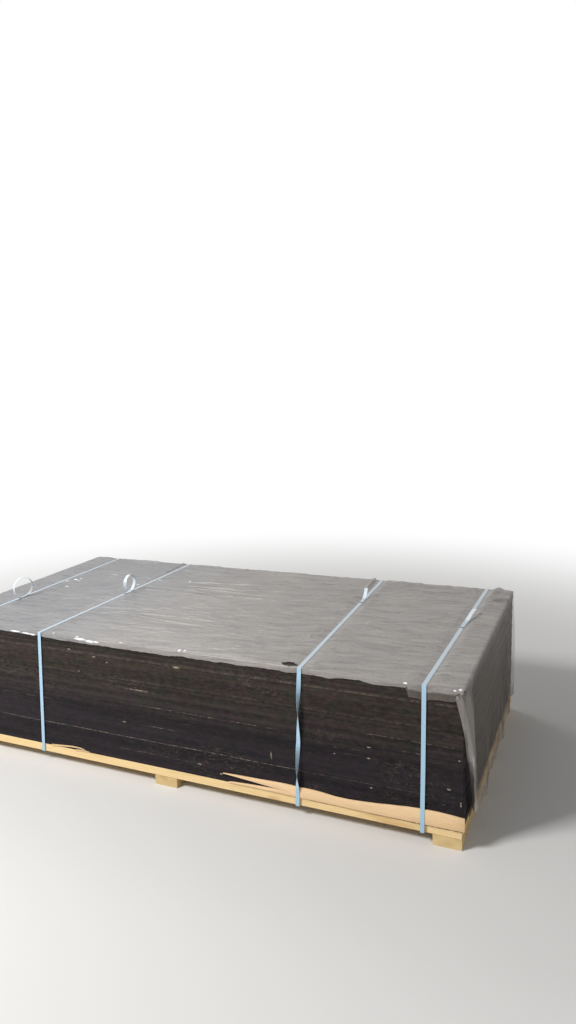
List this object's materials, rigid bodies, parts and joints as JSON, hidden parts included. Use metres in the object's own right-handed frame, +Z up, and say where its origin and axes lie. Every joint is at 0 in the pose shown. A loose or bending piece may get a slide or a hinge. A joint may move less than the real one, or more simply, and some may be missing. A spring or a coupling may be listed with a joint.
{
  "type": "stack of plywood sheets",
  "caption": "Strapped bundle of full-size dark-edged plywood sheets on a low timber pallet, under a translucent dust film with drapes at both ends.",
  "frame": {"origin": "on the floor, at the middle of the underside of the middle bearer, which is the middle of the pallet", "axes": "+X along the sheets' length, towards the end with the loose slat; +Y across the sheets, from that slat's side to the other; +Z up"},
  "size_m": [2.5124, 1.2306, 0.7048],
  "materials": {
    "plywood": "dark resin-faced plywood with black-brown sealed edges, scuffed",
    "bearer_timber": "rough-sawn softwood, end grain to the front",
    "board_timber": "rough-sawn softwood",
    "slat_timber": "thin sawn softwood slat, torn at one end",
    "film": "translucent milky polyethylene film, finely wrinkled",
    "strap": "pale blue embossed polyester strapping"
  },
  "bodies": {
    "root": {"bearer_left": "bearer_timber", "bearer_middle": "bearer_timber", "bearer_right": "bearer_timber", "deck_board_1": "board_timber", "deck_board_2": "board_timber", "deck_board_3": "board_timber", "deck_board_4": "board_timber", "deck_board_5": "board_timber", "dust_film": "film", "edge_slat": "slat_timber", "sheet_01": "plywood", "sheet_02": "plywood", "sheet_03": "plywood", "sheet_04": "plywood", "sheet_05": "plywood", "sheet_06": "plywood", "sheet_07": "plywood", "sheet_08": "plywood", "sheet_09": "plywood", "sheet_10": "plywood", "sheet_11": "plywood", "sheet_12": "plywood", "sheet_13": "plywood", "sheet_14": "plywood", "sheet_15": "plywood", "sheet_16": "plywood", "sheet_17": "plywood", "sheet_18": "plywood", "sheet_19": "plywood", "sheet_20": "plywood", "sheet_21": "plywood", "sheet_22": "plywood", "sheet_23": "plywood", "sheet_24": "plywood", "sheet_25": "plywood", "sheet_26": "plywood", "sheet_27": "plywood", "sheet_28": "plywood", "sheet_29": "plywood", "strap_1": "strap", "strap_2": "strap", "strap_3": "strap", "strap_4": "strap"}
  },
  "joints": []
}
